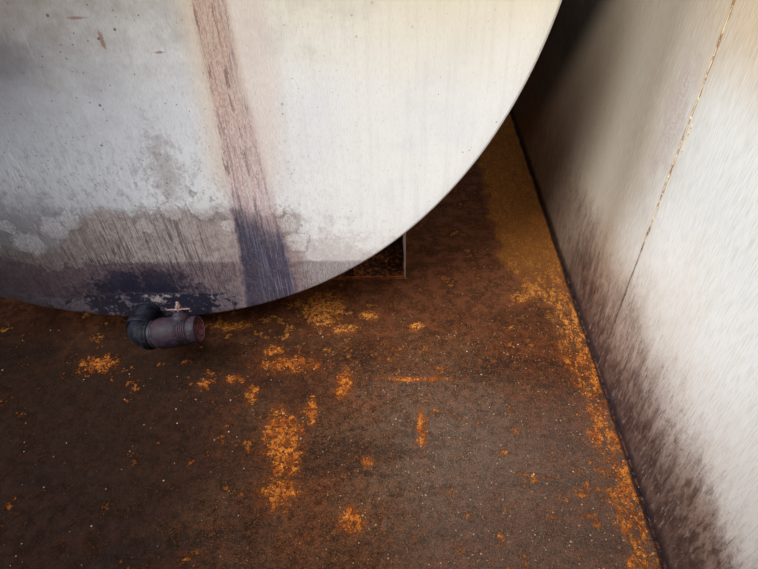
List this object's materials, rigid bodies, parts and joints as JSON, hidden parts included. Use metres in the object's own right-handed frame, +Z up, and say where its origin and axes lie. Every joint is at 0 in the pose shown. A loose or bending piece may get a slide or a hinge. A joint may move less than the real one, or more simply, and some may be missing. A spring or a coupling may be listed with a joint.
{
  "type": "horizontal storage tank in a steel dike",
  "caption": "Horizontal steel storage tank with flat heads, on saddles inside an open rectangular containment dike on a channel skid, with a drain valve low on its front head.",
  "frame": {"origin": "middle of the skid's underside, on the ground", "axes": "+X right as seen from the front head, +Y from the front head along the tank, +Z up"},
  "size_m": [3.09, 5.834, 2.901],
  "materials": {
    "tank_paint": "brushed white paint with tide marks and runs",
    "wall_paint": "brushed white paint, stained at its foot",
    "frame_paint": "weathered white paint with rust at the edges",
    "rusty_plate": "oily dark rust with orange patches",
    "skid_paint": "worn black paint",
    "pipe_iron": "dull, oily and pitted",
    "valve_iron": "dull, pitted, with a purple-brown film",
    "handle_steel": "worn plating with light rust"
  },
  "bodies": {
    "tank": {"skid_runner_left": "skid_paint", "skid_runner_right": "skid_paint", "skid_cross_front": "skid_paint", "skid_cross_front_saddle": "skid_paint", "skid_cross_rear_saddle": "skid_paint", "skid_cross_rear": "skid_paint", "dike_floor": "rusty_plate", "dike_wall_front": "wall_paint", "dike_wall_rear": "wall_paint", "dike_wall_left_front": "wall_paint", "dike_wall_left_rear": "wall_paint", "dike_wall_right_front": "wall_paint", "dike_wall_right_rear": "wall_paint", "dike_rim_left": "frame_paint", "dike_rim_right": "frame_paint", "dike_rim_front": "frame_paint", "dike_rim_rear": "frame_paint", "stiffener_left_1": "frame_paint", "stiffener_left_2": "frame_paint", "stiffener_left_3": "frame_paint", "stiffener_right_1": "frame_paint", "stiffener_right_2": "frame_paint", "stiffener_right_3": "frame_paint", "stiffener_front": "frame_paint", "stiffener_rear": "frame_paint", "saddle_front": "rusty_plate", "saddle_rear": "rusty_plate", "shell_front_lower": "tank_paint", "shell_front_upper": "tank_paint", "shell_rear_lower": "tank_paint", "shell_rear_upper": "tank_paint", "head_front": "tank_paint", "head_rear": "tank_paint", "drain_nozzle": "pipe_iron", "drain_elbow": "pipe_iron", "drain_valve_body": "valve_iron", "manway_neck": "tank_paint", "manway_flange": "tank_paint", "manway_cover": "tank_paint", "fill_pipe": "pipe_iron", "vent_pipe": "pipe_iron", "emergency_vent": "pipe_iron", "lifting_lug_front": "tank_paint", "lifting_lug_rear": "tank_paint", "head_coupling": "pipe_iron", "dike_drain_coupling": "pipe_iron"},
    "valve_handle": {"drain_valve_handle": "handle_steel"}
  },
  "joints": [
    {"name": "valve_handle_turn", "type": "hinge", "parent": "tank", "child": "valve_handle", "pos_m": [0.13936, -1.586, 0.37684], "axis": [-0.1355, 0.5, 0.8554], "range_deg": [-90, 0]}
  ]
}
